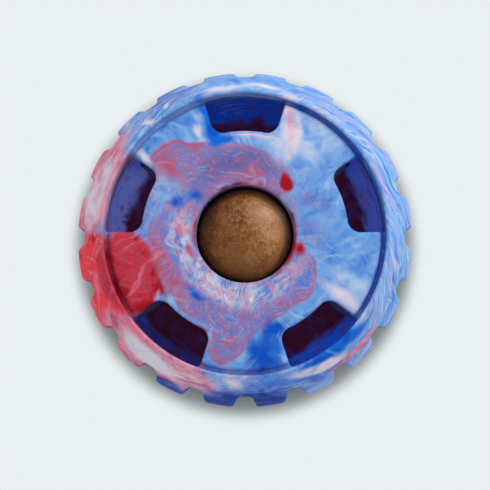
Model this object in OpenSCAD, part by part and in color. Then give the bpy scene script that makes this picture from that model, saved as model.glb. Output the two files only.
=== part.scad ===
// Treat dispensing ball.
// A hollow rubber ball with two flattened faces. Tread lugs run round its equator, each face
// has five slots that drop dry food out of the hollow, and a socket at each pole grips a round
// baked treat. The body is moulded as two half shells, bonded to each other at the equator.
// The axis is Z, and the ball stands on the flat ring of its lower face, at Z = 0.

/* [Ball] */
// Diameter over the tread lugs
ball_d = 89; // [89:0.5:92]
// Height between the flat rest rings of the two faces
ball_h = 49.6; // [48.6:0.2:50.2]
// Diameter of the hollow inside
hollow_d = 73; // [73:0.5:76]
// Thickness of each face, from its rim down to the hollow
face_t = 6.4; // [5:0.2:8]

/* [Tread] */
// Number of tread lugs round the equator
lug_count = 20; // [16:2:24]
// Depth of the flutes between the lugs, at the equator
flute_depth = 2.9; // [2:0.1:3.4]
// Width of the flat floor of a flute
flute_floor_w = 2.8; // [2:0.1:3.4]
// Lean of a flute's flanks from the radial direction, in degrees
flute_lean = 24; // [15:1:30]

/* [Face] */
// Radius of the tread ring's inner wall
ring_wall_r = 36.2; // [35:0.1:36.4]
// Width of the groove between the face and the tread ring
groove_w = 1.2; // [1:0.1:1.8]
// Depth of that groove below the rest ring
groove_depth = 3.4; // [2.5:0.1:4]
// Drop of the domed face from the socket's lip to the groove
face_drop = 1.1; // [0.6:0.1:1.6]
// Number of slots in each face
slot_count = 5; // [3:1:6]
// Radius of a slot's inner side
slot_inner_r = 26.5; // [25:0.1:28]
// Angle that a slot spans, in degrees
slot_angle = 34.4; // [24:0.4:35.6]
// Radius of a slot's two inner corners
slot_corner_r = 3.4; // [2:0.1:4]

/* [Treat] */
// Diameter of the baked treat
treat_d = 24.8; // [23:0.1:25]
// Height that the treat stands above the rest ring
treat_proud = 1.2; // [0:0.1:2]
// Gap between the treat and its socket, all round
treat_gap = 0.2; // [0.1:0.05:0.4]
// Thickness of the socket's cup
cup_t = 3; // [2:0.1:4]
// Radius of the hole in the floor of the cup
cup_hole_r = 9; // [7:0.1:10]

/* [Hidden] */
$fn = 96;

// Radii and heights above the equator, in one half shell
ball_r = ball_d / 2;
half_h = ball_h / 2;
hollow_r = hollow_d / 2;
lip_drop = 0.3;
rim_z = half_h - lip_drop;
roof_z = rim_z - face_t;
// Cutters run this far past what they cut, and reach lies outside the whole half shell
past = 1;
slot_corner_cross = 0.04;
reach = ball_r + 5;

// The face is a shallow dome, highest at the socket's lip and lowest at the groove
face_edge_r = ring_wall_r - groove_w;
socket_r = treat_d / 2 + treat_gap;
lip_round = 0.8;
edge_round = 1.1;
wall_round = 0.3;
lip_r = socket_r + lip_round;
dome_r = (face_edge_r * face_edge_r - lip_r * lip_r) / (2 * face_drop);
dome_z = rim_z - sqrt(dome_r * dome_r - lip_r * lip_r);
groove_floor_z = half_h - groove_depth;
edge_round_r = face_edge_r - edge_round;
edge_round_z = dome_z + sqrt(dome_r * dome_r - edge_round_r * edge_round_r) - edge_round;

// The treat sits in a cup, whose floor follows the treat and has a round hole in it
treat_z = half_h + treat_proud - treat_d / 2;
cup_r = socket_r + cup_t;
cup_floor_z = treat_z - sqrt(socket_r * socket_r - cup_hole_r * cup_hole_r);
cup_rim_t = 1.4;

// Slots and lugs share the pitch, so that a flute is centred on every slot
lug_pitch = 360 / lug_count;
slot_pitch = 360 / slot_count;
first_slot = 90;
lower_turn = round(slot_pitch / 2 / lug_pitch) * lug_pitch;
flute_round = 0.8;
lug_round = 0.9;
// Angle at which a lug's round edge stops, short of the crown of the lug
lug_edge_stop = 16;
flute_floor_r = ball_r - flute_depth;

// Corner to be cut off a section, so that a convex round of radius r is left.
// Its arc is centred on the origin, and the corner points along +X and +Y.
module round_cut(r) {
    difference() {
        square(2 * r);
        circle(r);
    }
}

// Section through the solid of the half shell before its face is shaped
module blank_section() {
    intersection() {
        circle(ball_r, $fn = 240);
        square([ball_r, half_h]);
    }
}

// Section of the space above the domed face, inside the ring's wall
module above_face_section() {
    difference() {
        square([ring_wall_r, reach]);
        translate([0, dome_z]) circle(dome_r, $fn = 720);
    }
}

// Section of the groove, with a half round floor
module groove_section() {
    groove_r = groove_w / 2;
    translate([face_edge_r, groove_floor_z + groove_r]) square([groove_w, reach]);
    translate([face_edge_r + groove_r, groove_floor_z + groove_r]) circle(groove_r);
}

// Section of the hollow, under the roof and outside the cup
module hollow_section() {
    difference() {
        intersection() {
            circle(hollow_r, $fn = 240);
            square([hollow_r, roof_z]);
        }
        cup_section();
    }
}

// Section of the cup that hangs from the face and holds the treat
module cup_section() {
    intersection() {
        union() {
            translate([0, treat_z]) circle(cup_r, $fn = 120);
            translate([0, treat_z]) square([cup_r, reach]);
        }
        translate([0, cup_floor_z - cup_rim_t]) square([cup_r, reach]);
    }
}

// Section of the socket: a straight bore over a round seat, and the hole in its floor
module socket_section() {
    translate([0, treat_z]) square([socket_r, reach]);
    intersection() {
        translate([0, treat_z]) circle(socket_r, $fn = 120);
        square([socket_r, reach]);
    }
    square([cup_hole_r, reach]);
}

// Full section of the half shell, before slots and flutes are cut
module half_section() {
    difference() {
        blank_section();
        hollow_section();
        above_face_section();
        groove_section();
        socket_section();
        translate([ring_wall_r + wall_round, half_h - wall_round]) mirror([1, 0]) round_cut(wall_round);
        translate([lip_r, rim_z - lip_round]) mirror([1, 0]) round_cut(lip_round);
        translate([edge_round_r, edge_round_z]) round_cut(edge_round);
    }
}

// Point at a radius and an angle
function polar(r, a) = [r * cos(a), r * sin(a)];

// Plan of what is left in a slot's inner corner, between its inner arc, its side and the corner's
// round. The round crosses both by a hair, where its circle would only just touch them.
module slot_corner_plan() {
    stand_off = slot_corner_r - slot_corner_cross;
    centre_r = slot_inner_r + stand_off;
    centre = polar(centre_r, slot_angle / 2 - asin(stand_off / centre_r));
    out_of_side = slot_angle / 2 + 90;
    difference() {
        polygon([
            centre,
            centre * (slot_inner_r - past) / centre_r,
            polar(slot_inner_r - past, slot_angle / 2) + polar(past, out_of_side),
            centre + polar(slot_corner_r + past, out_of_side)
        ]);
        translate(centre) circle(slot_corner_r, $fn = 64);
    }
}

// Plan of one slot, pointing along +X: a sector of the face, open outside to the ring's wall
module slot_plan() {
    difference() {
        intersection() {
            circle(ring_wall_r, $fn = 240);
            polygon([[0, 0], polar(2 * reach, -slot_angle / 2), polar(2 * reach, slot_angle / 2)]);
        }
        circle(slot_inner_r, $fn = 240);
        slot_corner_plan();
        mirror([0, 1]) slot_corner_plan();
    }
}

// A slot goes from the hollow up through the face
module slot_cut() {
    translate([0, 0, -past]) linear_extrude(reach) slot_plan();
}

// Points along an arc round a centre, from one angle to another
function arc(centre, r, from, to, steps = 4) =
    [for (i = [0 : steps]) centre + polar(r, from + (to - from) * i / steps)];

// Right half of a flute's outline, pointing along +Y: its floor corner, then the edge of the lug
function flute_side() =
    let (
        corner = [flute_floor_w / 2, flute_floor_r + flute_round],
        // The flank's distance to its right from the line through the origin with the same lean
        flank = corner.x * cos(flute_lean) - corner.y * sin(flute_lean) + flute_round,
        edge_r = ball_r - lug_round,
        edge_a = 90 - flute_lean - asin((flank + lug_round) / edge_r)
    )
    concat(
        arc(corner, flute_round, -90, -flute_lean),
        arc(polar(edge_r, edge_a), lug_round, 180 - flute_lean, edge_a + lug_edge_stop),
        [polar(reach, edge_a + lug_edge_stop / 10)]
    );

// Plan of one flute between two lugs, pointing along +Y
module flute_plan() {
    side = flute_side();
    last = len(side) - 1;
    polygon(concat(side, [for (i = [0 : last]) [-side[last - i].x, side[last - i].y]]));
}

module flute_cut() {
    translate([0, 0, -past]) linear_extrude(reach) flute_plan();
}

// One half shell, standing on the equator with its face up
module half_shell() {
    difference() {
        rotate_extrude($fn = 240) half_section();
        for (i = [0 : slot_count - 1]) rotate(first_slot + i * slot_pitch) slot_cut();
        for (i = [0 : lug_count - 1]) rotate(i * lug_pitch) flute_cut();
    }
}

module shell_top() {
    color([0.36, 0.55, 0.87]) translate([0, 0, half_h]) half_shell();
}

// The lower half is turned by whole lugs, so that the lugs meet but no slot lies under another
module shell_bottom() {
    color([0.80, 0.33, 0.42]) translate([0, 0, half_h]) rotate(lower_turn) mirror([0, 0, 1]) half_shell();
}

module treat() {
    color([0.52, 0.34, 0.18]) translate([0, 0, half_h + treat_z]) sphere(treat_d / 2, $fn = 120);
}

shell_top();
shell_bottom();
treat();
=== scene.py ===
# Looks of the treat dispensing ball: marbled rubber shells, a baked treat, studio stage and camera.
# Places on the ball are given as an angle about its axis, in degrees from +X towards +Y, and a reach:
# the distance in millimetres from the axis out over the face, over the ring and down the tread.
import math
from collections import namedtuple

import bmesh
import bpy
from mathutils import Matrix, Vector, noise


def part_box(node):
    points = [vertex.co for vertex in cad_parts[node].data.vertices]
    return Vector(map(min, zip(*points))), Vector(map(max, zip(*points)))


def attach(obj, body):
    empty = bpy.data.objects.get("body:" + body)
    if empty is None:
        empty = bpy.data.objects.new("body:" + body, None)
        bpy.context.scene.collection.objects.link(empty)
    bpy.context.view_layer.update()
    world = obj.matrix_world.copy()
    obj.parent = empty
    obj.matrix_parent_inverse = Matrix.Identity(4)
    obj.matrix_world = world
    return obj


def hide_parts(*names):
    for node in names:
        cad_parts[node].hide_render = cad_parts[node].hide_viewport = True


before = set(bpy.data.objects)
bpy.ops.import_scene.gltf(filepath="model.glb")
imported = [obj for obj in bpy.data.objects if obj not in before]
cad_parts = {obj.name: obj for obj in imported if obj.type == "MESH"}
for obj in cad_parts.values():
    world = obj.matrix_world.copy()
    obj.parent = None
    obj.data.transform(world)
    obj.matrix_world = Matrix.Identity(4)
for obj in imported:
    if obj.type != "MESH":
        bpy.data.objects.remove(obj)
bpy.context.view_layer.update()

MM = 0.001
# The frame's own measures, in millimetres
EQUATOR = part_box("shell_top")[0].z / MM
HALF_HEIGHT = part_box("shell_top")[1].z / MM - EQUATOR
TREAT_LOW, TREAT_HIGH = (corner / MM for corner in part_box("treat"))
TREAT_CENTRE = (TREAT_LOW + TREAT_HIGH) / 2
TREAT_R = (TREAT_HIGH.z - TREAT_LOW.z) / 2
# Other measures of the part's source: radii, and the height of the hollow's roof over the equator
BALL_R = 44.5
HOLLOW_R = 36.5
GROOVE_R = 35.6
SOCKET_R = 12.6
ROOF_HEIGHT = 18.1

# Mesh of the shells: size of the voxels they are remeshed with, how they are smoothed, and the share
# of the triangles that is kept
VOXEL = 0.45 * MM
SMOOTHING = {"factor": 0.5, "iterations": 5}
KEPT_SHARE = 0.5

# Marbling. Reach gained for each millimetre below the rest ring, so that it follows the tread's arc
REACH_PER_DROP = 0.75
# Reach where the ring begins, and how much slower a pour's width grows with its reach from there
RING_REACH = 36
RING_SPREAD = 0.3
# Reach over which the face's colours turn into the ring's
RING_BLEND = 1.5
# How places are stirred before a pattern is read there, as (patch size, push) in millimetres: for
# clouds, for drawn out streaks, and for the edges of the pours
CLOUD_STIR = [(6, 5)]
STREAK_STIR = [(13, 9), (5, 2.4), (1.6, 0.45)]
EDGE_STIR = [(11, 3.2), (4, 1.3)]
# How far the lower shell's noises lie from the upper shell's, in millimetres
LOWER_SEED = 40
# Radius at which streaks that run outwards have the width that is asked for
FLOW_SPAN = 30
# Reach that the lilac outline's curve takes as 1
OUTLINE_SPAN = 40
# How far a pour's edge is drawn out into streaks, as a share of its size
FRAY = 0.85
# How far the pours' edges wander near the equator, in millimetres, the heights over it from which and
# at which they do, and the size of the patches that they wander by
EQUATOR_WANDER = 16
WANDER_HEIGHTS = (17, 6)
WANDER_PATCH = 9
# Reaches between which the streaks stop following the lilac pour's outline
FOLLOWED_REACHES = (38, 28)
# Width of the lilac pour's rim, narrowest and widest, the size of the patches that it varies by, and
# how far the pour's own edge fades outwards and inwards
RIM_WIDTHS = (0.7, 1.8)
RIM_PATCH = 9
LILAC_FADE = (-0.7, 0.5)
# Middle of the rose part of that rim, as an angle, how far from it the rose turns into mauve, and how
# much of the rose is plain
ROSE_RIM = 98
ROSE_FADE = (44, 60)
ROSE_SHARE = 0.55
# Painted shade in the groove: tint, share of plum, distance from its middle line where the shade begins
# and is full, and the same for the depth below the rest ring
GROOVE_SHADE_TINT = (0.86, 0.86, 0.94)
GROOVE_SHADE_PLUM = 0.1
GROOVE_HALF = (0.7, 0.5)
GROOVE_DEPTHS = (0.9, 1.7)
# Parts of the groove painted deep blue as shade and pale as light, as (middle angle, degrees from it
# where the part begins, and where it is full, share)
SHADED_BLUE_GROOVE = (34, 78, 66, 0.7)
LIT_PALE_GROOVE = (127, 22, 12, 0.6)
# Painted shade in the flutes: how dark it is, from 0 to 1, its tint, and the depths under the lugs
# between which it comes in
FLUTE_SHADE = 0.6
FLUTE_SHADE_TINT = (0.5, 0.5, 0.62)
FLUTE_DEPTHS = (0.3, 2.4)
# How far into its walls the hollow's colours reach
HOLLOW_MARGIN = 0.8
# Heights over the equator between which the hollow's low colours turn into those of its walls, how
# far that edge wanders, and how much lower it lies where the painted glow is stronger
WALL_FOOT = (-16, -11)
FOOT_WANDER = 9
FOOT_DROP = 1.1
# Painted light: a glow on the walls of the hollow, as a share of full light, though they are no lamp,
# and degrees from the middle of a slot where its wall's own colour and extra glow begin and are full
HOLLOW_GLOW = 0.16
WALL_COLOUR_AND_GLOW_SPREAD = (26, 10)
# Surface of the rubber: its roughness goes from the first value to the second with the grain. Ripple
# and grain are depths.
RUBBER_SPECULAR = 0.04
RUBBER_ROUGHNESS = (0.5, 0.66)
RUBBER_RIPPLE = 0.25 * MM
RUBBER_GRAIN = 0.03 * MM

# Treat: directions towards which its crust is painted lighter as if lit, and towards which pale crumbs
# gather into a painted highlight
LIT_SIDE = (0.97, -0.22, 0)
HIGHLIGHT_SIDE = (0.47, 0.34, 0.81)
# How much the painted light on that side changes the crust's tone, at the treat's edge
LIT_SIDE_SHARE = 0.36
# Pits baked into the crust, as directions from the treat's middle: east, north, width in degrees
PITS = [(2, 8, 5), (6, -33, 5), (-20, -10, 4), (-30, 25, 5), (38, -12, 4), (-8, 40, 4), (-50, -20, 6)]
PIT_DEPTH = 0.3 * MM
PIT_STEEPNESS = 1.6
# Unevenness of the dough, as (times round the treat, depth)
DENTS = [(2.2, 0.12 * MM), (11, 0.035 * MM)]
# Power of the treat's upper outline: 2 is a ball, and more has fuller shoulders
FULLNESS = 2.5
# Levels, as shares of the treat's height, between which shade is painted on its crust towards the socket
SOCKET_SHADE_LEVELS = (0.62, 0.5)
# Surface of the crust: its roughness from dark to light, and the glaze over it. Bumps and grain are
# depths.
CRUST_ROUGHNESS = (0.5, 0.36)
CRUST_SPECULAR = 0.05
GLAZE = 0.45
GLAZE_ROUGHNESS = 0.34
CRUST_BUMPS = 0.15 * MM
CRUST_GRAIN = 0.06 * MM

# Camera: how far it is, how far it is tipped from straight above towards -Y, how far below the ball's
# middle it aims, in the picture, and the width of its sensor and its lens in millimetres
CAMERA_AWAY = 540 * MM
CAMERA_TILT = math.radians(4.07)
AIM_DROP = 1.25 * MM
SENSOR = 36
LENS = 148.4
# Lamp: watts, side in metres, angle about Z, angle from Z and distance in metres, and then the
# strength of the light from all round
LAMP_POWER = 3.6
LAMP_SIZE = 0.3
LAMP_TURN = math.radians(48)
LAMP_TILT = math.radians(62)
LAMP_AWAY = 0.9
WORLD_LIGHT = 0.78
# Floor: half its side in metres, its roughness, and how near the ball shades it, with the samples for
# that
FLOOR_HALF = 3
FLOOR_ROUGHNESS = 0.9
SHADE_DISTANCE = 20 * MM
SHADE_SAMPLES = 64
# Openness of the floor to the room, from 0 to 1, between which it goes from night to the shade tones,
# from shade to shadow, and from shadow to the plain floor
NIGHT_OPENNESS = (0.2, 0.42)
SHADE_OPENNESS = (0.4, 0.62)
SHADOW_OPENNESS = (0.59, 0.77)

# Colours as a screen shows them, red, green and blue of 255
PALETTE = {
    "white": (218, 210, 224),
    "pale": (152, 188, 231),
    "sky": (108, 158, 221),
    "blue": (62, 122, 208),
    "deep": (14, 80, 190),
    "vivid": (12, 104, 214),
    "navy": (14, 42, 128),
    "iris": (112, 122, 194),
    "violet": (100, 94, 154),
    "lilac": (132, 126, 182),
    "mauve": (150, 108, 156),
    "pink": (212, 152, 178),
    "rose": (182, 86, 114),
    "coral": (222, 122, 146),
    "blush": (224, 184, 204),
    "scarlet": (234, 60, 72),
    "red": (190, 56, 74),
    "crimson": (160, 20, 34),
    "wall": (24, 92, 214),
    "plum": (84, 58, 120),
    "maroon": (88, 34, 58),
    "crust": (118, 70, 18),
    "crust_light": (158, 108, 58),
    "crust_dark": (84, 44, 4),
    "crust_pit_and_shade": (50, 26, 10),
    "crumb_and_highlight": (200, 152, 112),
    "floor": (234, 239, 241),
    "shadow": (128, 134, 135),
    "shade": (66, 70, 76),
    "night": (30, 28, 60),
}

# Tones of the marbling: the pattern and (value, palette colour) stops of the base, and the layers over
# it as (palette colour, pattern, low, high, share). patterns() makes the patterns.
TONES = {
    "sky": ("cloud", [(0.28, "blue"), (0.45, "sky"), (0.58, "sky"), (0.72, "pale")],
            [("blue", "comb", 0.45, 0.3, 0.5), ("pale", "comb", 0.54, 0.7, 0.6),
             ("pale", "fine comb", 0.58, 0.72, 0.4), ("blue", "flecks", 0.4, 0.3, 0.35)]),
    "pale": ("cloud", [(0.36, "sky"), (0.5, "pale"), (0.82, "white")],
             [("white", "comb", 0.54, 0.7, 0.35), ("sky", "fine comb", 0.46, 0.32, 0.35)]),
    "white": ("cloud", [(0.3, "pale"), (0.42, "white")],
              [("pale", "fine comb", 0.46, 0.3, 0.35), ("pink", "comb", 0.56, 0.72, 0.25)]),
    "blue": ("cloud", [(0.36, "deep"), (0.5, "blue"), (0.68, "sky")],
             [("deep", "comb", 0.48, 0.36, 0.7), ("sky", "fine comb", 0.54, 0.68, 0.6)]),
    "deep": ("cloud", [(0.5, "deep"), (0.8, "blue")],
             [("blue", "comb", 0.54, 0.68, 0.5), ("sky", "fine comb", 0.62, 0.74, 0.4)]),
    "vivid": ("cloud", [(0.36, "deep"), (0.48, "vivid")],
              [("sky", "comb", 0.54, 0.7, 0.6), ("deep", "fine comb", 0.44, 0.3, 0.5)]),
    "navy": ("veins", [(0.46, "navy"), (0.64, "deep")],
             [("deep", "comb", 0.52, 0.68, 0.6), ("maroon", "fine comb", 0.46, 0.34, 0.4)]),
    "iris": ("veins", [(0.36, "blue"), (0.5, "iris"), (0.62, "pale")], []),
    "lilac": ("veins", [(0.38, "iris"), (0.5, "lilac"), (0.6, "mauve")],
              [("rose", "motes", 0.5, 0.64, 0.5), ("blue", "flecks", 0.46, 0.36, 0.55),
               ("pale", "fine streak", 0.54, 0.7, 0.35), ("rose", "fine streak", 0.44, 0.32, 0.4),
               ("blue", "streak", 0.42, 0.32, 0.4), ("blue", "grain", 0.46, 0.36, 0.4),
               ("pink", "grain", 0.56, 0.68, 0.3)]),
    "violet": ("veins", [(0.36, "iris"), (0.46, "violet"), (0.72, "mauve")],
               [("rose", "motes", 0.56, 0.68, 0.35), ("pale", "fine streak", 0.58, 0.72, 0.25),
                ("blue", "grain", 0.46, 0.36, 0.35), ("pink", "grain", 0.56, 0.68, 0.25)]),
    "haze": ("veins", [(0.38, "iris"), (0.6, "sky")],
             [("pale", "cloud", 0.48, 0.64, 0.6), ("pink", "motes", 0.54, 0.66, 0.4),
              ("pale", "fine streak", 0.54, 0.68, 0.5)]),
    "milky": ("milk", [(0.36, "iris"), (0.47, "pale"), (0.58, "white")],
              [("pink", "motes", 0.48, 0.6, 0.7), ("blue", "flecks", 0.44, 0.34, 0.55),
               ("rose", "fine streak", 0.56, 0.7, 0.4), ("iris", "fine streak", 0.46, 0.34, 0.45),
               ("blue", "grain", 0.44, 0.34, 0.35), ("rose", "grain", 0.58, 0.68, 0.35)]),
    "mauve": ("veins", [(0.38, "lilac"), (0.5, "mauve")],
              [("pink", "fine streak", 0.52, 0.66, 0.6), ("rose", "motes", 0.52, 0.64, 0.4)]),
    "speckle": ("cloud", [(0.36, "iris"), (0.58, "sky")],
                [("violet", "flecks", 0.44, 0.34, 0.4), ("pink", "motes", 0.56, 0.66, 0.3),
                 ("blue", "comb", 0.48, 0.36, 0.6)]),
    "rose": ("veins", [(0.36, "mauve"), (0.5, "rose")],
             [("pink", "comb", 0.52, 0.66, 0.4), ("lilac", "fine streak", 0.46, 0.34, 0.5)]),
    "pink": ("veins", [(0.36, "rose"), (0.48, "pink"), (0.66, "white")], []),
    "blush": ("cloud", [(0.34, "pink"), (0.44, "blush"), (0.6, "white")], []),
    "coral": ("cloud", [(0.36, "rose"), (0.5, "coral")],
              [("pink", "comb", 0.46, 0.62, 0.8), ("mauve", "fine comb", 0.46, 0.32, 0.4),
               ("scarlet", "flecks", 0.42, 0.32, 0.3)]),
    "scarlet": ("cloud", [(0.3, "crimson"), (0.42, "scarlet")],
                [("coral", "comb", 0.5, 0.66, 0.7), ("crimson", "fine comb", 0.42, 0.28, 0.5),
                 ("pink", "fine comb", 0.58, 0.72, 0.4)]),
    "red": ("cloud", [(0.32, "crimson"), (0.46, "red")],
            [("pink", "comb", 0.54, 0.72, 0.4), ("crimson", "comb", 0.44, 0.3, 0.5),
             ("rose", "fine comb", 0.52, 0.68, 0.45)]),
    "crimson": ("cloud", [(0.56, "crimson"), (0.8, "red")], []),
    "wine": ("cloud", [(0.44, "maroon"), (0.6, "crimson")], []),
    "ring": ("cloud", [(0.32, "blue"), (0.46, "sky"), (0.62, "sky"), (0.72, "pale")],
             [("blue", "swirl", 0.42, 0.32, 0.7), ("pale", "swirl", 0.46, 0.5, 0.9),
              ("sky", "swirl", 0.51, 0.54, 0.9), ("pink", "swirl", 0.575, 0.6, 0.8),
              ("sky", "swirl", 0.605, 0.64, 0.9), ("white", "fine comb", 0.56, 0.68, 0.5)]),
}

# One poured patch of colour: its angle and reach, half its length along the ring and half its width in
# millimetres, how far it is turned from the ring's direction, how soft its edge is (0 to 1), and its tone
Pour = namedtuple("Pour", "name angle reach long wide turn soft tone")

UPPER_POURS = [
    # Ring and tread, from +X round to the lower right
    Pour("ring sky at the top", 88, 46, 14, 7, 0, 0.7, "sky"),
    # These pale and white pours are marbling that also paints the highlight along the ring's lip
    Pour("ring pale and painted highlight at the top", 92, 40, 8, 2.5, 0, 0.9, "pale"),
    Pour("ring white swoosh and painted highlight at the top", 99, 39.0, 4.6, 1.7, 0, 0.8, "white"),
    Pour("ring white spot and painted highlight at the top", 82, 40.4, 3.4, 1.1, 3, 0.8, "white"),
    Pour("tread lilac at the upper left", 118, 50, 9, 10, 0, 0.6, "iris"),
    Pour("ring white spot", 122, 40.5, 0.6, 1.6, 10, 0.6, "white"),
    Pour("ring white spot at the left of it", 131, 39.5, 0.9, 2.2, -30, 0.6, "white"),
    Pour("tread rose at the left", 160.5, 50, 14.2, 18, 0, 0.12, "coral"),
    Pour("ring pink at the left", 153, 43, 6, 5, 0, 0.9, "pink"),
    Pour("ring white blob at the left", 166, 44.6, 8.4, 6.6, 0, 0.5, "blush"),
    Pour("tread red", 197.5, 50, 13.4, 28, 0, 0.1, "scarlet"),
    Pour("tread rose at the lower left", 234.5, 50, 18.2, 18, 0, 0.12, "coral"),
    Pour("ring pink round the white", 244, 43.5, 7, 5, 0, 0.9, "pink"),
    Pour("ring white blob at the lower left", 231.5, 44.6, 8.6, 5.0, 0, 0.4, "white"),
    Pour("ring vivid at the bottom", 281, 45, 9, 6, 0, 0.7, "vivid"),
    Pour("ring white fan at the bottom", 266, 42.5, 1.5, 5.5, -15, 0.8, "white"),
    Pour("ring deep blue", 307, 38.8, 11.5, 3.2, 0, 0.35, "vivid"),
    Pour("ring blue behind it", 300, 46, 12, 4.5, 0, 0.7, "blue"),
    Pour("ring white fin", 299, 42.2, 8.2, 2.8, 16, 0.4, "white"),
    Pour("ring rose streak", 314, 47, 8, 1.6, -12, 0.5, "coral"),
    Pour("tread navy under the rose", 245, 61.5, 9, 10.5, 0, 0.25, "navy"),
    Pour("tread iris at the bottom", 274, 52, 16, 8, 0, 0.6, "iris"),
    Pour("tread navy at the bottom", 272, 57, 14, 12, 0, 0.3, "navy"),
    # Face, outside the lilac
    Pour("face pale by the right slot", 52, 30.5, 5, 6.5, 0, 0.9, "pale"),
    Pour("face blue by the socket", 22, 17.5, 10, 4.4, 0, 0.8, "speckle"),
    Pour("face pale beside the white streak", 65, 29, 5.5, 8, -24, 0.9, "pale"),
    Pour("face white streak", 66.0, 30.4, 2.5, 8.0, -24, 0.45, "white"),
    Pour("face pink in the white streak", 66.2, 30, 0.9, 6.0, -24, 1, "blush"),
    Pour("face pale under the top slot", 84, 25.0, 8.5, 1.8, 0, 0.8, "pale"),
    # Painted highlight on the top slot's rim
    Pour("face painted highlight on the top slot's rim", 86, 26.0, 6, 0.4, 0, 0.7, "blush"),
    Pour("face pale line by the comma", 113.4, 32.4, 0.5, 3.6, -6, 0.9, "pale"),
    Pour("face white blob by the comma", 114.5, 29.4, 0.8, 1.9, -6, 0.8, "white"),
    Pour("face comma tail", 109, 32, 1.0, 5.0, 0, 0.7, "vivid"),
    Pour("face deep comma", 107.5, 27.0, 2.0, 3.4, -12, 0.6, "vivid"),
    Pour("face blue tail of the comma", 103, 25.0, 3.6, 1.2, 0, 0.7, "vivid"),
    # Painted highlight along the left slot's edge
    Pour("face painted highlight by the left slot", 142, 33.2, 1.0, 3.2, 0, 0.8, "white"),
    Pour("face pale by the rose spike", 250, 31.4, 0.9, 4, 10, 0.8, "pale"),
    Pour("face blue at the bottom", 277, 32, 3.6, 5, 0, 0.6, "blue"),
    Pour("face deep at the bottom", 281.5, 30.6, 3.0, 7.2, 24, 0.5, "deep"),
    Pour("face deep tip", 288, 26, 3.0, 1.8, 0, 0.6, "deep"),
    # Painted highlight on the lower right slot's rim
    Pour("face painted highlight under the lower right slot", 312, 26.2, 4, 0.5, 0, 0.9, "pale"),
    Pour("face white at the lower right", 327, 31, 1.7, 5.4, 8, 1, "white"),
    Pour("face pale at the lower right", 336, 31, 2.4, 5, 8, 0.9, "pale"),
    # Inside the lilac
    Pour("face periwinkle by the left slot", 160, 24.4, 8.5, 4.2, 0, 0.7, "haze"),
    Pour("face blue spots", 157, 19.8, 1.6, 2.0, 0, 0.6, "deep"),
    Pour("face blue spots nearer the socket", 143, 16.8, 2.4, 1.5, 30, 0.9, "blue"),
    Pour("face rose freckles by the left slot", 138, 26, 2.0, 4.2, 20, 0.9, "rose"),
    Pour("face blue streak at the left", 190, 20.2, 4, 1.0, 0, 0.8, "iris"),
    Pour("face blue spot at the lower left", 229, 20.2, 2.6, 1.5, 0, 0.7, "deep"),
    Pour("face milky round the socket", 262, 15.8, 17, 3.0, 0, 0.7, "milky"),
    Pour("face milky at the left", 186, 16.6, 8, 3.0, 0, 0.7, "milky"),
    Pour("face pink patch", 174, 16.8, 2.4, 1.2, 0, 0.8, "pink"),
    Pour("face red streak by the socket", 197, 14.8, 2.2, 0.7, 0, 0.8, "rose"),
    Pour("face violet over the socket", 92, 18.4, 12, 3.5, 0, 0.6, "violet"),
    Pour("face mauve round the socket's top", 84, 14.2, 12, 1.2, 0, 0.9, "mauve"),
    Pour("face rose over the socket's top", 80, 16.6, 2.4, 1.2, 0, 0.9, "rose"),
    Pour("face red", 197, 32.5, 11.5, 8.6, 0, 0.12, "red"),
    Pour("face rose under the red", 202, 23.4, 10, 1.7, 0, 0.8, "rose"),
    Pour("face crimson in the red", 212, 26.4, 2.2, 0.9, 10, 0.9, "crimson"),
    Pour("face crimson beside the slot", 215.5, 33, 1.5, 2.4, 0, 0.6, "crimson"),
    Pour("face blue line along the slot", 240, 26.7, 5, 0.4, 0, 0.9, "sky"),
    Pour("face crimson spot", 50, 17.0, 1.6, 2.5, -37, 0.3, "crimson"),
    Pour("face crimson by the socket", 344, 15.0, 1.7, 1.3, 0, 0.7, "crimson"),
    Pour("face crimson at the lip", 345, 13.1, 9, 0.6, 0, 0.9, "crimson"),
    Pour("lip maroon at the top", 100, 12.8, 24, 0.45, 0, 0.7, "wine"),
    Pour("lip maroon at the right", 10, 12.8, 9, 0.45, 0, 0.7, "wine"),
]

LOWER_POURS = [
    Pour("tread blue at the top", 90, 58, 14, 8, 0, 0.4, "blue"),
    Pour("tread rose at the left", 158, 60, 14, 9, 0, 0.3, "coral"),
    Pour("tread red", 197, 60, 14, 12, 0, 0.3, "scarlet"),
    Pour("tread rose at the lower left", 230, 60, 10, 9, 0, 0.3, "coral"),
    Pour("tread navy at the bottom", 262, 60, 20, 7, 0, 0.3, "navy"),
    Pour("red sweep", 60, 34, 18, 12, 12, 0.2, "red"),
    Pour("deep sweep", 150, 36, 16, 9, -10, 0.3, "deep"),
    Pour("rose sweep", 205, 44, 14, 12, 8, 0.25, "rose"),
    Pour("white blob", 196, 44, 6, 4.5, 0, 0.5, "white"),
    Pour("lilac sweep", 300, 42, 16, 13, -8, 0.3, "lilac"),
    Pour("red tongue", 268, 26, 7, 9, 20, 0.3, "red"),
    Pour("white streak", 20, 29, 2, 8, 15, 0.6, "white"),
    Pour("navy streak", 335, 54, 10, 4, 0, 0.3, "navy"),
]

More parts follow.
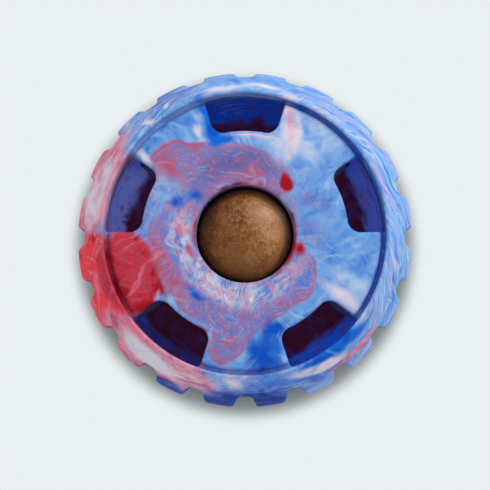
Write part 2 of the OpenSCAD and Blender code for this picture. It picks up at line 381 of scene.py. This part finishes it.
# Outline of the lilac pour round each socket, as (angle, reach)
LILAC_OUTLINE = [
    (0, 11), (40, 12), (51, 16), (59, 20.2), (72, 22), (90, 23.2), (108, 25), (120, 27.6), (131, 31.4),
    (138, 31.6), (146, 27.6), (162, 27.4), (180, 25), (200, 23.8), (214, 25.2), (228, 26.4), (240, 27.2),
    (247, 29), (252, 31.6), (257, 34), (261, 34.6), (265, 33.2), (269, 31), (274, 27.8), (284, 24.2),
    (300, 23.4), (322, 23), (334, 21.2), (341, 18), (347, 14.5), (353, 12), (360, 11),
]
LOWER_LILAC_OUTLINE = [(0, 20), (50, 26), (110, 18), (170, 24), (220, 16), (280, 25), (330, 18), (360, 20)]

# Behind a slot, the hollow's wall: angle, its own colour and the share of it, and how much more
# painted glow it has there
WALL_COLOURS_AND_GLOW = [
    (162, "iris", 0.9, 1.6),
    (18, "iris", 0.45, 0.9),
    (306, "wall", 0.8, 1.1),
    (234, "plum", 0.7, 0),
]


def linear(name):
    """A palette colour as the shader's linear red, green, blue and alpha."""
    channels = [v / 255 for v in PALETTE[name]]
    return [c / 12.92 if c <= 0.04045 else ((c + 0.055) / 1.055) ** 2.4 for c in channels] + [1]


class Shader:
    """A new material, and short calls that add nodes to it. Each of those returns the node's output,
    apart from add, which returns the node."""

    def __init__(self, name):
        self.material = bpy.data.materials.new(name)
        self.material.use_nodes = True
        self.nodes = self.material.node_tree.nodes
        self.links = self.material.node_tree.links
        self.surface = self.nodes["Principled BSDF"]
        self.output = self.nodes["Material Output"]

    def feed(self, socket, value):
        """Links a node's output to a socket, or sets the socket to a plain value."""
        if isinstance(value, bpy.types.NodeSocket):
            self.links.new(value, socket)
        else:
            socket.default_value = value

    def set(self, name, value):
        """Feeds a socket of the surface."""
        self.feed(self.surface.inputs[name], value)

    def add(self, kind, inputs=(), **settings):
        made = self.nodes.new(kind)
        for key, value in settings.items():
            setattr(made, key, value)
        for key, value in dict(inputs).items():
            self.feed(made.inputs[key], value)
        return made

    def math(self, operation, *values):
        return self.add("ShaderNodeMath", enumerate(values), operation=operation).outputs[0]

    def vector(self, operation, *values):
        made = self.add("ShaderNodeVectorMath", enumerate(values), operation=operation)
        return made.outputs["Value" if operation in ("LENGTH", "DOT_PRODUCT") else "Vector"]

    def scale(self, vector, factor):
        made = self.add("ShaderNodeVectorMath", {0: vector, "Scale": factor}, operation="SCALE")
        return made.outputs["Vector"]

    def split(self, vector):
        return self.add("ShaderNodeSeparateXYZ", {0: vector}).outputs

    def join(self, x, y, z):
        return self.add("ShaderNodeCombineXYZ", {0: x, 1: y, 2: z}).outputs[0]

    def noise(self, place, size, detail=2, rough=0.5, colour=False):
        """Noise whose patches are about size millimetres across. place is in millimetres."""
        inputs = {"Vector": place, "Scale": 1 / size, "Detail": detail, "Roughness": rough}
        made = self.add("ShaderNodeTexNoise", inputs)
        return made.outputs["Color" if colour else "Fac"]

    def ease(self, value, low, high, to_low=0, to_high=1):
        """Goes smoothly from to_low where value is low to to_high where it is high."""
        inputs = {"Value": value, "From Min": low, "From Max": high, "To Min": to_low, "To Max": to_high}
        made = self.add("ShaderNodeMapRange", inputs, interpolation_type="SMOOTHSTEP")
        return made.outputs["Result"]

    def mix(self, share, under, over):
        """Lays a share of one colour over another. Each is a palette colour or a node's output."""
        made = self.add("ShaderNodeMix", data_type="RGBA")
        self.feed(made.inputs["Factor"], share)
        for socket, colour in (("A_Color", under), ("B_Color", over)):
            target = next(s for s in made.inputs if s.identifier == socket)
            self.feed(target, linear(colour) if isinstance(colour, str) else colour)
        return next(s for s in made.outputs if s.identifier == "Result_Color")

    def ramp(self, value, *stops):
        """stops are (value, palette colour), in order."""
        made = self.add("ShaderNodeValToRGB", {"Fac": value})
        elements = made.color_ramp.elements
        while len(elements) < len(stops):
            elements.new(1)
        for element, (at, colour) in zip(elements, stops):
            element.position = at
            element.color = linear(colour)
        return made.outputs["Color"]

    def curve(self, value, points):
        """A smooth curve through points of (value, result), all from 0 to 1."""
        made = self.add("ShaderNodeFloatCurve", {"Value": value})
        line = made.mapping.curves[0]
        while len(line.points) < len(points):
            line.points.new(1, 1)
        for point, place in zip(line.points, points):
            point.location = place
        made.mapping.update()
        return made.outputs[0]

    def bump(self, height, distance, under=None):
        inputs = {"Height": height, "Distance": distance, "Strength": 1}
        if under:
            inputs["Normal"] = under
        return self.add("ShaderNodeBump", inputs).outputs[0]


def height_above_equator(s, place, side):
    """How far a place is from the equator, counted up on the upper shell and down on the lower."""
    return s.math("MULTIPLY", s.math("SUBTRACT", s.split(place)[2], EQUATOR), side)


def stir(s, place, layers):
    """place, pushed about by noise. layers are (patch size, push), both in millimetres."""
    for size, push in layers:
        shift = s.vector("SUBTRACT", s.noise(place, size, 1, colour=True), (0.5, 0.5, 0.5))
        place = s.vector("ADD", place, s.scale(shift, push))
    return place


def around(s, place):
    """Angle about the ball's axis in degrees, from 0 to 360, and distance from the axis."""
    x, y, _ = s.split(place)
    turn = s.math("MULTIPLY", s.math("ARCTAN2", y, x), 180 / math.pi)
    distance = s.math("SQRT", s.math("ADD", s.math("MULTIPLY", x, x), s.math("MULTIPLY", y, y)))
    return s.math("FLOORED_MODULO", turn, 360), distance


def place_on_ball(s, place, side):
    """Angle and reach of a place."""
    angle, distance = around(s, place)
    drop = s.math("SUBTRACT", HALF_HEIGHT, height_above_equator(s, place, side))
    return angle, s.math("MULTIPLY_ADD", drop, REACH_PER_DROP, distance)


def turn_from(s, angle, middle):
    """Degrees from middle to angle, from -180 to 180."""
    return s.math("WRAP", s.math("SUBTRACT", angle, middle), 180, -180)


def near_angle(s, angle, middle, far, near, share=1):
    """Eases from 0 at far degrees from middle up to share at near degrees from it."""
    return s.ease(s.math("ABSOLUTE", turn_from(s, angle, middle)), far, near, 0, share)


def outline_reach(s, angle, outline):
    """Reach of the lilac pour's outline at an angle."""
    points = [(a / 360, r / OUTLINE_SPAN) for a, r in outline]
    return s.math("MULTIPLY", s.curve(s.math("DIVIDE", angle, 360), points), OUTLINE_SPAN)


def blend(s, *parts):
    """Sum of values, each times its share. parts are (value, share)."""
    total = 0
    for value, share in parts:
        total = s.math("MULTIPLY_ADD", value, share, total)
    return total


def layered(s, colour, *layers):
    """Lays colours over each other. layers are (palette colour, value, low, high, share): the colour
    comes in where the value goes from low to high, up to its share."""
    for over, value, low, high, share in layers:
        colour = s.mix(s.ease(value, low, high, 0, share), colour, over)
    return colour


def flow(s, drawn, side, seed, outline):
    """Two functions that draw a pattern out in millimetres. along(long, wide) gives places whose
    pattern runs along the lilac outline, and across(lean, long, wide) places whose pattern runs
    outwards, with a lean in degrees a millimetre."""
    angle, reach = place_on_ball(s, drawn, side)
    bend = s.math("MULTIPLY", outline_reach(s, angle, outline), s.ease(reach, *FOLLOWED_REACHES))
    out = s.math("SUBTRACT", reach, bend)
    x, y, _ = s.split(drawn)

    def along(long, wide):
        return s.join(s.math("MULTIPLY_ADD", x, 1 / long, seed), s.math("MULTIPLY", y, 1 / long),
                      s.math("MULTIPLY", out, 1 / wide))

    def across(lean, long, wide):
        turn = s.math("MULTIPLY", s.math("MULTIPLY_ADD", reach, lean, angle), math.radians(1))
        return s.join(s.math("MULTIPLY", s.math("COSINE", turn), FLOW_SPAN / wide),
                      s.math("MULTIPLY", s.math("SINE", turn), FLOW_SPAN / wide),
                      s.math("MULTIPLY_ADD", reach, 1 / long, seed))

    return along, across


def patterns(s, place, along, across):
    """The noises that the tones are made of. along and across are those of flow()."""
    stirred = stir(s, place, CLOUD_STIR)
    made = {
        "cloud": s.noise(stirred, 5),
        "flecks": s.noise(stirred, 1.6),
        "motes": s.noise(s.vector("ADD", stirred, (31, 17, 5)), 1.9),
        "grain": s.noise(s.vector("ADD", stirred, (7, 41, 23)), 0.9, 2, 0.6),
        "streak": s.noise(along(6, 1.0), 1),
        "fine streak": s.noise(along(4.0, 0.6), 1),
        "comb": s.noise(across(-1, 11, 2.2), 1),
        "fine comb": s.noise(across(1, 8, 0.9), 1),
        "swirl": s.noise(across(2.4, 10, 2.6), 1),
    }
    made["veins"] = blend(s, (made["cloud"], 0.35), (made["streak"], 0.65))
    made["milk"] = blend(s, (made["cloud"], 0.4), (made["streak"], 0.6))
    return made


def tone_colours(s, made):
    """Each tone's colour at a place, from the patterns there."""
    colours = {}
    for name, (base, stops, layers) in TONES.items():
        over = [(colour, made[pattern], *rest) for colour, pattern, *rest in layers]
        colours[name] = layered(s, s.ramp(made[base], *stops), *over)
    return colours


def pour_share(s, angle, reach, fray, pour):
    """How much of a pour is at a place, from 0 to 1. fray is noise round 0.5 that draws its edge out.
    u and v are the place along and across the pour, from its middle, as shares of its half sizes."""
    past_face = max(pour.reach - RING_REACH, 0)
    span = min(pour.reach, RING_REACH) + RING_SPREAD * past_face
    along = s.math("MULTIPLY", turn_from(s, angle, pour.angle), math.radians(1) * span)
    out = s.math("SUBTRACT", reach, pour.reach)
    c, d = math.cos(math.radians(pour.turn)), math.sin(math.radians(pour.turn))
    u = s.math("ADD", s.math("MULTIPLY", along, c / pour.long), s.math("MULTIPLY", out, d / pour.long))
    v = s.math("SUBTRACT", s.math("MULTIPLY", out, c / pour.wide), s.math("MULTIPLY", along, d / pour.wide))
    distance = s.math("SQRT", s.math("ADD", s.math("MULTIPLY", u, u), s.math("MULTIPLY", v, v)))
    drawn_out = FRAY * (0.3 + pour.soft)
    distance = s.math("MULTIPLY_ADD", s.math("SUBTRACT", fray, 0.5), drawn_out, distance)
    return s.ease(distance, 1 + pour.soft, 1 - pour.soft)


def lay_out(s, place, seeded, moved, side):
    """Angle and reach that the pours are laid out by: those of the place, pushed about a little, and
    more towards the equator."""
    wander = s.vector("SUBTRACT", s.noise(seeded, WANDER_PATCH, 1, colour=True), (0.5, 0.5, 0.5))
    near_equator = s.ease(height_above_equator(s, place, side), *WANDER_HEIGHTS, 0, EQUATOR_WANDER)
    laid = s.vector("ADD", moved(EDGE_STIR), s.scale(wander, near_equator))
    return place_on_ball(s, laid, side)


def poured_colour(s, angle, reach, seeded, made, pours, outline):
    """The marbling: sky on the face and swirls on the ring, the lilac pour with its rim, and the
    pours over them."""
    tone = tone_colours(s, made)
    colour = s.mix(s.ease(reach, RING_REACH, RING_REACH + RING_BLEND), tone["sky"], tone["ring"])
    inside = s.math("SUBTRACT", outline_reach(s, angle, outline), reach)
    width = s.ease(s.noise(seeded, RIM_PATCH, 1), 0.35, 0.65, *RIM_WIDTHS)
    off_rose = s.math("ABSOLUTE", turn_from(s, angle, ROSE_RIM))
    rim = s.mix(s.ease(off_rose, *ROSE_FADE), s.mix(ROSE_SHARE, tone["rose"], "rose"), tone["mauve"])
    lilac = s.mix(s.ease(s.math("DIVIDE", inside, width), 0.4, 1.2), rim, tone["lilac"])
    colour = s.mix(s.ease(inside, *LILAC_FADE), colour, lilac)
    fray = blend(s, (made["fine streak"], 0.5), (made["comb"], 0.5))
    for pour in pours:
        colour = s.mix(pour_share(s, angle, reach, fray, pour), colour, tone[pour.tone])
        colour.node.label = pour.name
    return colour


def flute_painted_shade(s, colour, distance, from_middle):
    """Paints shade into the flutes between the lugs, making them a little darker than the lugs."""
    # Painted shade, deeper under the lugs
    under_lugs = s.ease(s.math("SUBTRACT", BALL_R, from_middle), *FLUTE_DEPTHS, 0, FLUTE_SHADE)
    on_tread = s.ease(distance, HOLLOW_R + 0.4, HOLLOW_R + 1)
    return s.mix(s.math("MULTIPLY", under_lugs, on_tread), colour, s.vector("MULTIPLY", colour, FLUTE_SHADE_TINT))


def groove_painted_shade(s, colour, angle, distance, height):
    """Paints shade into the groove, making its colours deep and dark, and paints deep blue shade and pale
    light into it where the photo has that.
    """
    off_groove = s.math("ABSOLUTE", s.math("SUBTRACT", distance, GROOVE_R))
    below_ring = s.ease(s.math("SUBTRACT", HALF_HEIGHT, height), *GROOVE_DEPTHS)
    in_groove = s.math("MULTIPLY", s.ease(off_groove, *GROOVE_HALF), below_ring)
    # Painted shade in the groove, then painted deep blue shade and pale light on parts of it
    shaded = s.mix(GROOVE_SHADE_PLUM, s.vector("MULTIPLY", colour, GROOVE_SHADE_TINT), "plum")
    shaded = s.mix(near_angle(s, angle, *SHADED_BLUE_GROOVE), shaded, "deep")
    shaded = s.mix(near_angle(s, angle, *LIT_PALE_GROOVE), shaded, "pale")
    return s.mix(in_groove, colour, shaded)


def hollow_colour(s, place, height, angle):
    """Inside, blue up the walls and maroon on the lower face's inner side. Gives the colour, and how
    much more painted glow it has than elsewhere."""
    swirl = s.noise(stir(s, place, [(9, 10)]), 8)
    wisps = s.noise(stir(s, place, [(9, 16)]), 4, 3)
    wall = s.ramp(swirl, (0.34, "plum"), (0.46, "wall"), (0.6, "wall"), (0.7, "iris"))
    wall_glow = 0
    for middle, own, share, more in WALL_COLOURS_AND_GLOW:
        near = near_angle(s, angle, middle, *WALL_COLOUR_AND_GLOW_SPREAD)
        wall = s.mix(s.math("MULTIPLY", near, share), wall, own)
        wall_glow = s.math("MULTIPLY_ADD", near, more, wall_glow)
    wall = layered(s, wall, ("plum", wisps, 0.48, 0.36, 0.6))
    low = s.ramp(swirl, (0.56, "maroon"), (0.84, "plum"))
    low = layered(s, low, ("plum", wisps, 0.52, 0.66, 0.6))
    edge = s.math("MULTIPLY_ADD", s.math("SUBTRACT", swirl, 0.5), FOOT_WANDER, height)
    edge = s.math("MULTIPLY_ADD", wall_glow, FOOT_DROP, edge)
    on_wall = s.ease(edge, *WALL_FOOT)
    return s.mix(on_wall, low, wall), s.math("MULTIPLY", on_wall, wall_glow)


def show_hollow(s, colour, seeded, angle, distance, height, from_middle, side):
    """Colours the inside, and gives it a faint painted glow of light, though it is no lamp."""
    under_wall = s.math("SUBTRACT", HOLLOW_R + HOLLOW_MARGIN, from_middle)
    under_roof = s.math("SUBTRACT", ROOF_HEIGHT + HOLLOW_MARGIN, s.math("ABSOLUTE", height))
    under_both = s.ease(s.math("MINIMUM", under_wall, under_roof), -0.6, 0.6)
    in_hollow = s.math("MULTIPLY", under_both, s.ease(distance, SOCKET_R + 0.7, SOCKET_R + 1.7))
    hollow, extra_glow = hollow_colour(s, seeded, s.math("MULTIPLY", height, side), angle)
    # Painted glow on the hollow's walls
    painted_glow = s.math("MULTIPLY_ADD", extra_glow, HOLLOW_GLOW, HOLLOW_GLOW)
    s.set("Emission Color", hollow)
    s.set("Emission Strength", s.math("MULTIPLY", in_hollow, painted_glow))
    return s.mix(in_hollow, colour, hollow)


def marbled_rubber(name, side, seed, pours, outline):
    """Moulded rubber poured from several colours. side is 1 for the upper shell and -1 for the lower."""
    s = Shader(name)
    place = s.scale(s.add("ShaderNodeTexCoord").outputs["Object"], 1 / MM)
    offset = Vector((seed, -seed, 2 * seed))
    seeded = s.vector("ADD", place, offset)

    def moved(layers):
        return s.vector("SUBTRACT", stir(s, seeded, layers), offset)

    along, across = flow(s, moved(STREAK_STIR), side, seed, outline)
    made = patterns(s, seeded, along, across)
    laid_angle, reach = lay_out(s, place, seeded, moved, side)
    colour = poured_colour(s, laid_angle, reach, seeded, made, pours, outline)
    angle, distance = around(s, place)
    height = height_above_equator(s, place, side)
    from_middle = s.vector("LENGTH", s.vector("SUBTRACT", place, (0, 0, EQUATOR)))
    colour = flute_painted_shade(s, colour, distance, from_middle)
    colour = groove_painted_shade(s, colour, angle, distance, height)
    s.set("Base Color", show_hollow(s, colour, seeded, angle, distance, height, from_middle, side))

    grain = s.noise(place, 0.35, 3, 0.6)
    ripple = s.bump(s.noise(place, 5), RUBBER_RIPPLE)
    s.set("Roughness", s.ease(grain, 0.3, 0.7, *RUBBER_ROUGHNESS))
    s.set("Specular IOR Level", RUBBER_SPECULAR)
    s.set("Normal", s.bump(grain, RUBBER_GRAIN, under=ripple))
    return s.material


def baked_crust():
    """Glazed, baked dough: warm brown, with pits, specks and pale crumbs. Painted shade darkens it where
    it sits in the socket, one side is painted lighter as if lit, and the crumbs gather into a painted
    highlight."""
    s = Shader("baked_crust")
    place = s.scale(s.add("ShaderNodeTexCoord").outputs["Object"], 1 / MM)
    blotch = s.noise(stir(s, place, [(5, 3)]), 3.5, 5, 0.6)
    # Painted light: the crust's tone grows lighter towards one side
    lit_side = s.vector("DOT_PRODUCT", place, LIT_SIDE)
    tone = s.math("MULTIPLY_ADD", lit_side, LIT_SIDE_SHARE / TREAT_R, blotch)
    colour = s.ramp(tone, (0.2, "crust_dark"), (0.44, "crust"), (0.58, "crust"), (0.82, "crust_light"))

    specks = s.noise(place, 0.75, 2, 0.6)
    outwards = s.scale(s.vector("SUBTRACT", place, TREAT_CENTRE), 1 / TREAT_R)
    # Pale crumbs, gathered towards one side into a painted highlight
    toward_highlight = s.vector("DOT_PRODUCT", outwards, HIGHLIGHT_SIDE)
    pale_specks_and_highlight = s.math("MULTIPLY", s.ease(specks, 0.42, 0.7), s.ease(toward_highlight, 0.5, 1, 0.12, 0.4))
    colour = s.mix(pale_specks_and_highlight, colour, "crumb_and_highlight")
    # Painted highlight: a pale patch on that side
    colour = s.mix(s.ease(toward_highlight, 0.84, 1, 0, 0.3), colour, "crumb_and_highlight")
    colour = s.mix(s.ease(specks, 0.36, 0.26, 0, 0.5), colour, "crust_pit_and_shade")
    # Painted shade on the crust where it sits in the socket
    level = s.math("DIVIDE", s.math("SUBTRACT", s.split(place)[2], TREAT_LOW.z), 2 * TREAT_R)
    colour = s.mix(s.ease(level, *SOCKET_SHADE_LEVELS, 0, 0.7), colour, "crust_pit_and_shade")

    s.set("Base Color", colour)
    s.set("Roughness", s.ease(blotch, 0.3, 0.7, *CRUST_ROUGHNESS))
    s.set("Specular IOR Level", CRUST_SPECULAR)
    s.set("Coat Weight", GLAZE)
    s.set("Coat Roughness", GLAZE_ROUGHNESS)
    bumps = s.bump(s.noise(place, 1.2, 4, 0.6), CRUST_BUMPS)
    s.set("Normal", s.bump(specks, CRUST_GRAIN, under=bumps))
    return s.material


def new_object(name, data):
    """A new object in the scene."""
    made = bpy.data.objects.new(name, data)
    bpy.context.scene.collection.objects.link(made)
    return made


def settle(piece, modifiers):
    """Applies modifiers to a piece. modifiers are (kind, settings)."""
    for kind, settings in modifiers:
        made = piece.modifiers.new(kind.lower(), kind)
        for key, value in settings.items():
            setattr(made, key, value)
    evaluated = piece.evaluated_get(bpy.context.evaluated_depsgraph_get())
    mesh = bpy.data.meshes.new_from_object(evaluated)
    piece.modifiers.clear()
    piece.data = mesh


def soft_shell(node, name, material):
    """A shell as it comes out of its mould: the CAD shell's form, with every edge a little round."""
    piece = new_object(name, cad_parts[node].data.copy())
    settle(piece, [
        ("REMESH", {"mode": "VOXEL", "voxel_size": VOXEL, "use_smooth_shade": True}),
        ("SMOOTH", SMOOTHING),
        ("DECIMATE", {"ratio": KEPT_SHARE}),
    ])
    piece.data.materials.clear()
    piece.data.materials.append(material)
    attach(piece, "ball")
    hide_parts(node)
    return piece


def pit_direction(east, north):
    """Direction from the treat's middle to a pit."""
    return Vector((math.sin(math.radians(east)), math.sin(math.radians(north)), 1)).normalized()


def crust_depth(out, pits):
    """How far the crust lies under the treat's plain outline, in a direction from its middle."""
    depth = sum(dent * (1 + noise.noise(out * times)) for times, dent in DENTS)
    for pit, width in pits:
        depth += PIT_DEPTH * math.exp(-(PIT_STEEPNESS * out.angle(pit) / width) ** 2)
    return depth


def fullness(out):
    """How much further out than a ball the treat goes, in a direction from its middle."""
    if out.z <= 0:
        return 1
    return (math.hypot(out.x, out.y) ** FULLNESS + out.z ** FULLNESS) ** (-1 / FULLNESS)


def baked_treat(name, material):
    """A hand-rolled ball of dough, a little uneven, with small pits in its crust."""
    mesh = bpy.data.meshes.new(name)
    shape = bmesh.new()
    bmesh.ops.create_icosphere(shape, subdivisions=6, radius=1)
    pits = [(pit_direction(east, north), math.radians(width)) for east, north, width in PITS]
    for vertex in shape.verts:
        out = vertex.co.normalized()
        vertex.co = TREAT_CENTRE * MM + out * (TREAT_R * MM * fullness(out) - crust_depth(out, pits))
    for face in shape.faces:
        face.smooth = True
    shape.to_mesh(mesh)
    shape.free()
    mesh.materials.append(material)
    piece = new_object(name, mesh)
    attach(piece, "treat")
    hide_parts("treat")


def aim(thing, place, target):
    """Puts a camera or lamp at a place, turned towards a target."""
    thing.location = place
    thing.rotation_euler = (target - place).to_track_quat("-Z", "Y").to_euler()


def camera():
    """The photo's view: almost straight above, tipped a little towards -Y."""
    data = bpy.data.cameras.new("camera")
    data.sensor_width = SENSOR
    data.lens = LENS
    up = Vector((0, math.cos(CAMERA_TILT), math.sin(CAMERA_TILT)))
    back = Vector((0, -math.sin(CAMERA_TILT), math.cos(CAMERA_TILT)))
    target = Vector((0, 0, EQUATOR * MM)) - up * AIM_DROP
    made = new_object("camera", data)
    aim(made, target + back * CAMERA_AWAY, target)
    bpy.context.scene.camera = made


def lights():
    """One soft lamp at the upper right of the view, and even light from all round."""
    lamp = bpy.data.lights.new("key", "AREA")
    lamp.energy = LAMP_POWER
    lamp.size = LAMP_SIZE
    level = Vector((math.cos(LAMP_TURN), math.sin(LAMP_TURN), 0))
    direction = level * math.sin(LAMP_TILT) + Vector((0, 0, math.cos(LAMP_TILT)))
    middle = Vector((0, 0, EQUATOR * MM))
    aim(new_object("key", lamp), middle + direction * LAMP_AWAY, middle)
    world = bpy.data.worlds.new("studio")
    world.use_nodes = True
    back = world.node_tree.nodes["Background"]
    back.inputs["Color"].default_value = (1, 1, 1, 1)
    back.inputs["Strength"].default_value = WORLD_LIGHT
    bpy.context.scene.world = world


def floor_surface():
    """Pale floor. The camera, and anything that mirrors it, sees it at its plain colour, darkened
    where the ball is close. Light that falls on it comes back as from a real floor."""
    s = Shader("floor")
    inputs = {"Distance": SHADE_DISTANCE}
    openness = s.add("ShaderNodeAmbientOcclusion", inputs, samples=SHADE_SAMPLES).outputs["AO"]
    tone = s.mix(s.ease(openness, *SHADE_OPENNESS), "shade", "shadow")
    tone = s.mix(s.ease(openness, *SHADOW_OPENNESS), tone, "floor")
    tone = s.mix(s.ease(openness, *NIGHT_OPENNESS), "night", tone)
    glow = s.add("ShaderNodeEmission", {"Color": tone, "Strength": 1}).outputs[0]
    s.set("Base Color", linear("floor"))
    s.set("Roughness", FLOOR_ROUGHNESS)
    path = s.add("ShaderNodeLightPath").outputs
    seen = s.math("MAXIMUM", path["Is Glossy Ray"], path["Is Transmission Ray"])
    seen = s.math("MAXIMUM", path["Is Camera Ray"], seen)
    shown = s.add("ShaderNodeMixShader", {0: seen, 1: s.surface.outputs[0], 2: glow})
    s.feed(s.output.inputs["Surface"], shown.outputs[0])
    return s.material


def stage():
    """The floor, as one square at Z = 0."""
    h = FLOOR_HALF
    mesh = bpy.data.meshes.new("floor")
    mesh.from_pydata([(-h, -h, 0), (h, -h, 0), (h, h, 0), (-h, h, 0)], [], [(0, 1, 2, 3)])
    mesh.materials.append(floor_surface())
    floor = new_object("floor", mesh)


def shells():
    """Both halves of the rubber body."""
    rubber = marbled_rubber("marbled_top", 1, 0, UPPER_POURS, LILAC_OUTLINE)
    upper = soft_shell("shell_top", "rubber_shell_top", rubber)
    rubber = marbled_rubber("marbled_bottom", -1, LOWER_SEED, LOWER_POURS, LOWER_LILAC_OUTLINE)
    lower = soft_shell("shell_bottom", "rubber_shell_bottom", rubber)


bpy.context.scene.view_settings.view_transform = "Standard"
camera()
lights()
stage()
shells()
baked_treat("baked_treat", baked_crust())
